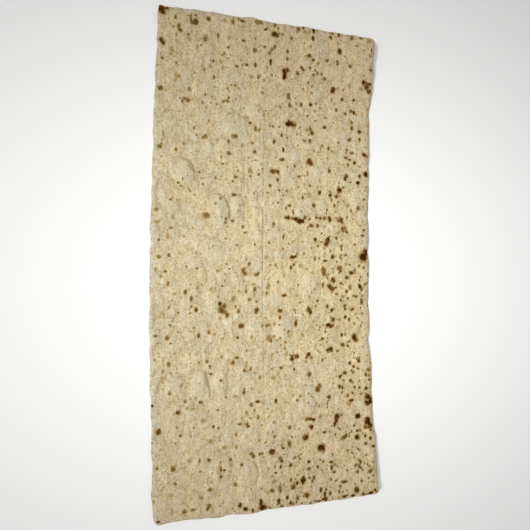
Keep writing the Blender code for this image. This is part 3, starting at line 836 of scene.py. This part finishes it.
class Wire:  # a node's output, which can be added, multiplied and so on
    def __init__(self, tree, node=None, output=0):
        self.tree, self.node = tree, node
        self.socket = node.outputs[output] if node and node.outputs else None

    def add(self, kind, settings=None, inputs=None, output=0):
        node = self.tree.nodes.new(kind)
        for name, value in (settings or {}).items():
            if name == "stops":
                self.setStops(node.color_ramp, value)
            else:
                setattr(node, name, value)
        for name, value in (inputs or {}).items():
            if isinstance(value, Wire):
                self.tree.links.new(value.socket, node.inputs[name])
            else:
                node.inputs[name].default_value = value
        return Wire(self.tree, node, output)

    def setStops(self, ramp, stops):
        while len(ramp.elements) < len(stops):
            ramp.elements.new(0.5)
        for element, (place, colour) in zip(ramp.elements, stops):
            element.position, element.color = place, colour

    def out(self, output):
        return Wire(self.tree, self.node, output)

    def maths(self, operation, *values):
        return self.add("ShaderNodeMath", {"operation": operation}, dict(enumerate(values)))

    def __add__(self, other):
        return self.maths("ADD", self, other)

    def __radd__(self, other):
        return self.maths("ADD", other, self)

    def __sub__(self, other):
        return self.maths("SUBTRACT", self, other)

    def __rsub__(self, other):
        return self.maths("SUBTRACT", other, self)

    def __mul__(self, other):
        return self.maths("MULTIPLY", self, other)

    def __rmul__(self, other):
        return self.maths("MULTIPLY", other, self)

    def __truediv__(self, other):
        return self.maths("DIVIDE", self, other)

    def __rtruediv__(self, other):
        return self.maths("DIVIDE", other, self)

    def __pow__(self, other):
        return self.maths("POWER", self, other)

    def __gt__(self, other):
        return self.maths("GREATER_THAN", self, other)

    def most(self, other):
        return self.maths("MAXIMUM", self, other)

    def ramped(self, low, high):  # 0 to 1 as the value goes from low to high, level at both ends
        return self.add(
            "ShaderNodeMapRange", {"interpolation_type": "SMOOTHSTEP"},
            {"Value": self, "From Min": low, "From Max": high},
        )

    def mixed(self, first, second, blend="MIX"):  # this value is how much of the second colour
        return self.add(
            "ShaderNodeMix", {"data_type": "RGBA", "blend_type": blend},
            {0: self, 6: first, 7: second}, output=2,
        )

    def coloured(self, stops):  # the colour that this value has on a ramp
        ramp = [(place, paint(*colour)) for place, colour in stops]
        return self.add("ShaderNodeValToRGB", {"stops": ramp}, {"Fac": self})

    def field(self, name):
        return self.add("ShaderNodeAttribute", {"attribute_name": name}, output="Fac")


def paint(red, green, blue):  # a colour as a screen shows it, 0 to 255
    def linear(part):
        part = part / 255
        return part / 12.92 if part <= 0.04045 else ((part + 0.055) / 1.055) ** 2.4

    return (linear(red), linear(green), linear(blue), 1.0)


# The crumb's finish: its tones from hollow to raised, with painted shade in the hollows, how browning darkens
# it, and the small speckles
crumb = {
    "tones": [
        (0.0, (155, 132, 93)), (0.25, (184, 165, 124)), (0.5, (208, 193, 154)), (0.75, (223, 210, 175)),
        (1.0, (233, 223, 190)),
    ],
    "toast": [
        (0.0, (206, 190, 149)), (0.12, (196, 177, 131)), (0.26, (175, 152, 105)), (0.42, (152, 126, 76)),
        (0.56, (130, 101, 51)), (0.7, (109, 77, 28)), (0.85, (87, 52, 10)), (1.0, (61, 28, 1)),
    ],
    # each noise as its size in metres, detail, how much longer it is along the sheet, and roughness
    "noises": {
        "patches": (0.050, 1.0, 1.0, 0.5),
        "mottle": (0.0075, 4.0, 1.25, 0.75),
        "grain": (0.0021, 2.0, 1.2, 0.8),
        "threads": (0.0030, 2.0, 5.0, 0.5),
        "strokes": (0.0015, 1.0, 3.2, 0.5),  # short dark ones along the sheet
        "warmth": (0.018, 2.0, 1.0, 0.5),
        "wideWarmth": (0.045, 1.0, 1.0, 0.5),
        "ragged": (0.0032, 3.0, 1.5, 0.7),
        "blotch": (0.0046, 1.0, 1.0, 0.5),
        "fine": (0.0009, 1.0, 1.0, 0.5),
    },
    # how much each one changes the tone
    "patches": 0.14,
    "mottle": 0.75,
    "grain": 1.35,
    "threads": 0.40,
    "strokes": 0.45,
    "strokeRange": (0.15, 0.30),
    # how much painted shade darkens the hollows
    "hollows": 0.10,
    "puffed": 0.18,  # how much smoother a blister's top is
    # the tint between the cool and the warm one, and how much each thing warms it
    "warm": (1.03, 1.0, 0.93, 1.0),
    "cool": (0.975, 1.0, 1.045, 1.0),
    "warmth": 2.0,
    "wideWarmth": 1.4,
    "brownWarmth": 0.6,
    "evenBrowning": 0.45,  # the browning that neither warms nor cools
    "puffedCool": 0.25,
    "rim": (0.90, 0.92, 1.02, 1.0),  # painted shade: the thin edge is painted a little darker and greyer
    "end": (1.025, 0.978, 0.975, 1.0),  # and the two ends are rosier
    # painted shade in the crease and the wrinkles: its colour, share, grain and start
    "creaseLine": (120, 98, 62),
    "creaseShare": 0.6,
    "creaseGrain": 0.8,
    "creaseFrom": 0.25,
    "roughness": 0.86,
    "gloss": 0.05,
    "bumps": {"grain": 0.8, "threads": 0.3, "fine": 0.25, "height": 0.0005},
    # cell, smallest and largest radius in millimetres, how much likelier than the sheet's browning, and depth
    "speckles": [(7.0, 0.8, 1.4, 0.60, 0.95), (4.6, 0.6, 1.05, 0.80, 0.85), (3.1, 0.45, 0.85, 1.00, 0.60)],
    "speck": (126, 104, 60),
    "underMarks": [(22.0, 2.0, 4.6, 0.80, 0.80), (12.0, 1.2, 2.6, 0.70, 0.75), (7.0, 0.8, 1.5, 0.60, 0.60)],
    "speckSkew": 1.5,  # the higher, the fewer are large
    "speckSoftness": 0.75,
    "speckLeast": 0.4,  # the share of its depth that the faintest speck has
    "layerShifts": (0.37, 0.53),  # keep the layers of speckles and of marks below from lining up
    "layerSlant": 0.7,  # how far they shift along the sheet, for each step across
    # how ragged the edges of specks, scorches and marks below are, and how blotchy all of them
    "speckRagged": 1.3,
    "scorchRagged": 1.6,
    "underRagged": 1.8,
    "blotch": 1.2,
    "scorchEdge": 1.25,
    "scorchCore": (0.0, 0.70, 0.76),  # where it starts, where it is full, and its share of the depth
    "scorchHalo": (-0.55, 0.15, 0.24),
    "scorchLevel": 0.97,
    "scorchShine": 0.25,  # how much less rough a scorch is
    "toastFull": 0.20,  # the depth from which a scorch hides the crumb
}


def speckle(place, browned, ragged, cell, smallest, largest, likelier, depth, shift):
    cell, smallest, largest = cell / 1000, smallest / 1000, largest / 1000
    step = (shift, shift * crumb["layerSlant"], 0)
    moved = place.add("ShaderNodeVectorMath", {"operation": "ADD"}, {0: place, 1: step})
    cells = moved.add(
        "ShaderNodeTexVoronoi", {"voronoi_dimensions": "2D"},
        {"Vector": moved, "Scale": 1 / cell, "Randomness": 1.0}, output="Distance",
    )
    draw = cells.add("ShaderNodeSeparateColor", None, {"Color": cells.out("Color")})
    radius = smallest + (largest - smallest) * draw.out("Green") ** crumb["speckSkew"]
    inside = 1.0 - cells * cell / radius + ragged
    present = browned * likelier > draw.out("Red")
    least = crumb["speckLeast"]
    strength = depth * least + depth * (1.0 - least) * draw.out("Blue")
    return inside.ramped(0.0, crumb["speckSoftness"]) * present * strength


def bakedCrumb():
    material = bpy.data.materials.new("bakedCrumb")
    material.use_nodes = True
    tree = material.node_tree
    tree.nodes.clear()
    start = Wire(tree)
    place = start.add("ShaderNodeTexCoord", output="Object")

    def noise(name):  # about -0.5 to 0.5
        size, detail, longer, rough = crumb["noises"][name]
        stretch = {0: place, 1: (1.0, 1.0 / longer, 1.0)}
        where = place.add("ShaderNodeVectorMath", {"operation": "MULTIPLY"}, stretch)
        inputs = {"Vector": where, "Scale": 1 / size, "Detail": detail, "Roughness": rough}
        return where.add("ShaderNodeTexNoise", None, inputs, output="Fac") - 0.5

    mottle, grain, threads = noise("mottle"), noise("grain"), noise("threads")
    hollow, browned, puffed = start.field("hollow"), start.field("browning"), start.field("puffed")

    # the crumb, with painted shade in its hollows and painted light on its raised parts, partly less flour in
    # the hollows and more on top
    strokes = noise("strokes").ramped(*crumb["strokeRange"])
    fleck = mottle * crumb["mottle"] + grain * crumb["grain"] + threads * crumb["threads"]
    fleck = (fleck - strokes * crumb["strokes"]) * (1.0 - puffed * crumb["puffed"])
    # painted shade in the hollows, and painted light on raised parts
    value = 0.5 + noise("patches") * crumb["patches"] + fleck - hollow * crumb["hollows"]
    tones = value.coloured(crumb["tones"])
    warmth = noise("warmth") * crumb["warmth"] + noise("wideWarmth") * crumb["wideWarmth"]
    warmth = warmth + (browned - crumb["evenBrowning"]) * crumb["brownWarmth"]
    warmth = warmth - puffed * crumb["puffedCool"] + 0.5
    tint = warmth.ramped(0.0, 1.0).mixed(crumb["cool"], crumb["warm"])
    blend = {"data_type": "RGBA", "blend_type": "MULTIPLY"}
    base = start.add("ShaderNodeMix", blend, {0: 1.0, 6: tones, 7: tint}, output=2)
    # painted shade along the thin edge
    base = start.field("rim").mixed(base, crumb["rim"], "MULTIPLY")
    base = start.field("end").mixed(base, crumb["end"], "MULTIPLY")
    # painted shade in the crease and along the wrinkles
    line = (start.field("crease") + grain * crumb["creaseGrain"]).ramped(crumb["creaseFrom"], 1.0)
    base = (line * crumb["creaseShare"]).mixed(base, paint(*crumb["creaseLine"]))

    # the small olive speckles, in three sizes
    ragged, blotch = noise("ragged"), noise("blotch") * crumb["blotch"]
    topShift, underShift = crumb["layerShifts"]
    specks = 0.0
    for turn, kind in enumerate(crumb["speckles"]):
        specks = speckle(place, browned, ragged * crumb["speckRagged"], *kind, topShift * turn).most(specks)
    base = (specks * (1.0 + blotch)).mixed(base, paint(*crumb["speck"]))

    # the scorches, each a dark core in a paler halo, and the marks of the underside
    (coreFrom, coreFull, core), (haloFrom, haloFull, halo) = crumb["scorchCore"], crumb["scorchHalo"]
    inside = crumb["scorchEdge"] - start.field("scorch").most(0.0) ** 0.5 + ragged * crumb["scorchRagged"]
    burn = inside.ramped(coreFrom, coreFull) * core + inside.ramped(haloFrom, haloFull) * halo
    burn = burn * start.field("scorchDepth") * (crumb["scorchLevel"] + blotch)
    under, underRagged = start.field("under"), ragged * crumb["underRagged"]
    for turn, kind in enumerate(crumb["underMarks"]):
        burn = burn.most(speckle(place, under, underRagged, *kind, underShift * turn) * (1.0 + blotch))
    colour = burn.ramped(0.0, crumb["toastFull"]).mixed(base, burn.coloured(crumb["toast"]))

    bumps = crumb["bumps"]
    fine = grain * bumps["grain"] + threads * bumps["threads"] + noise("fine") * bumps["fine"]
    inputs = {"Height": fine, "Strength": 1.0, "Distance": bumps["height"]}
    shader = start.add("ShaderNodeBsdfPrincipled", None, {
        "Base Color": colour,
        "Roughness": crumb["roughness"] - burn * crumb["scorchShine"],
        "Specular IOR Level": crumb["gloss"],
        "Normal": fine.add("ShaderNodeBump", None, inputs),
    })
    start.add("ShaderNodeOutputMaterial", None, {"Surface": shader})
    print("crumb finish:", len(tree.nodes), "nodes")
    return material


studio = {
    "floorSize": 40.0,
    "floorColour": (0.86, 0.86, 0.85, 1.0),
    "floorRoughness": 0.9,
    "floorGloss": 0.2,
    "floorGlow": 0.15,
    "glowColour": (1.0, 1.0, 1.0, 1.0),
    "floorDrop": 0.0001,  # how far it lies below the sheet
    "skyColour": (1.0, 1.0, 1.0, 1.0),
    "skyStrength": 0.41,
    # where each lamp stands, where it points, width of its beam in degrees, size of its face and power
    "lamps": {
        "window": ((-1.62, -0.04, 1.60), (0.072, -0.023, 0.0), 23.5, 0.30, 245.0),
    },
}


def layFloor():
    mesh = bpy.data.meshes.new("floor")
    half = studio["floorSize"] / 2
    level = crustLow.z - studio["floorDrop"]
    corners = [(-half, -half, level), (half, -half, level), (half, half, level), (-half, half, level)]
    mesh.from_pydata(corners, [], [(0, 1, 2, 3)])
    material = bpy.data.materials.new("paleFloor")
    material.use_nodes = True
    shader = material.node_tree.nodes["Principled BSDF"]
    shader.inputs["Base Color"].default_value = studio["floorColour"]
    shader.inputs["Roughness"].default_value = studio["floorRoughness"]
    shader.inputs["Specular IOR Level"].default_value = studio["floorGloss"]
    shader.inputs["Emission Color"].default_value = studio["glowColour"]
    shader.inputs["Emission Strength"].default_value = studio["floorGlow"]
    mesh.materials.append(material)
    floor = bpy.data.objects.new("floor", mesh)
    bpy.context.scene.collection.objects.link(floor)


def aimed(place, target, up=(0, 1, 0)):  # stands at place and looks at target
    place, target, up = Vector(place), Vector(target), Vector(up)
    back = (place - target).normalized()
    right = up.cross(back).normalized()
    turn = Matrix((right, back.cross(right), back)).transposed()
    return Matrix.Translation(place) @ turn.to_4x4()


def hangLights():
    for name, (place, aim, beam, size, power) in studio["lamps"].items():
        lamp = bpy.data.lights.new(name, "SPOT")
        lamp.spot_size, lamp.spot_blend = math.radians(beam), 1.0
        lamp.shadow_soft_size, lamp.energy = size, power
        holder = bpy.data.objects.new(name, lamp)
        holder.matrix_world = aimed(place, aim)
        holder.visible_camera = False
        bpy.context.scene.collection.objects.link(holder)
    world = bpy.data.worlds.new("softRoom")
    world.use_nodes = True
    sky = world.node_tree.nodes["Background"]
    sky.inputs["Color"].default_value = studio["skyColour"]
    sky.inputs["Strength"].default_value = studio["skyStrength"]
    bpy.context.scene.world = world


view = {"lens": 29.9, "sensor": 36.0, "place": (-0.154, -0.029, 0.525), "aim": (-0.006, -0.006, 0.0)}


def setCamera():
    camera = bpy.data.cameras.new("camera")
    camera.lens, camera.sensor_width = view["lens"], view["sensor"]
    holder = bpy.data.objects.new("camera", camera)
    holder.matrix_world = aimed(view["place"], view["aim"])
    bpy.context.scene.collection.objects.link(holder)
    bpy.context.scene.camera = holder


crust = makeCrust()
crust.data.materials.append(bakedCrumb())
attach(crust, "root")
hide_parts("crust")
layFloor()
hangLights()
setCamera()
bpy.context.scene.view_settings.view_transform = "Standard"
print("studio ready")
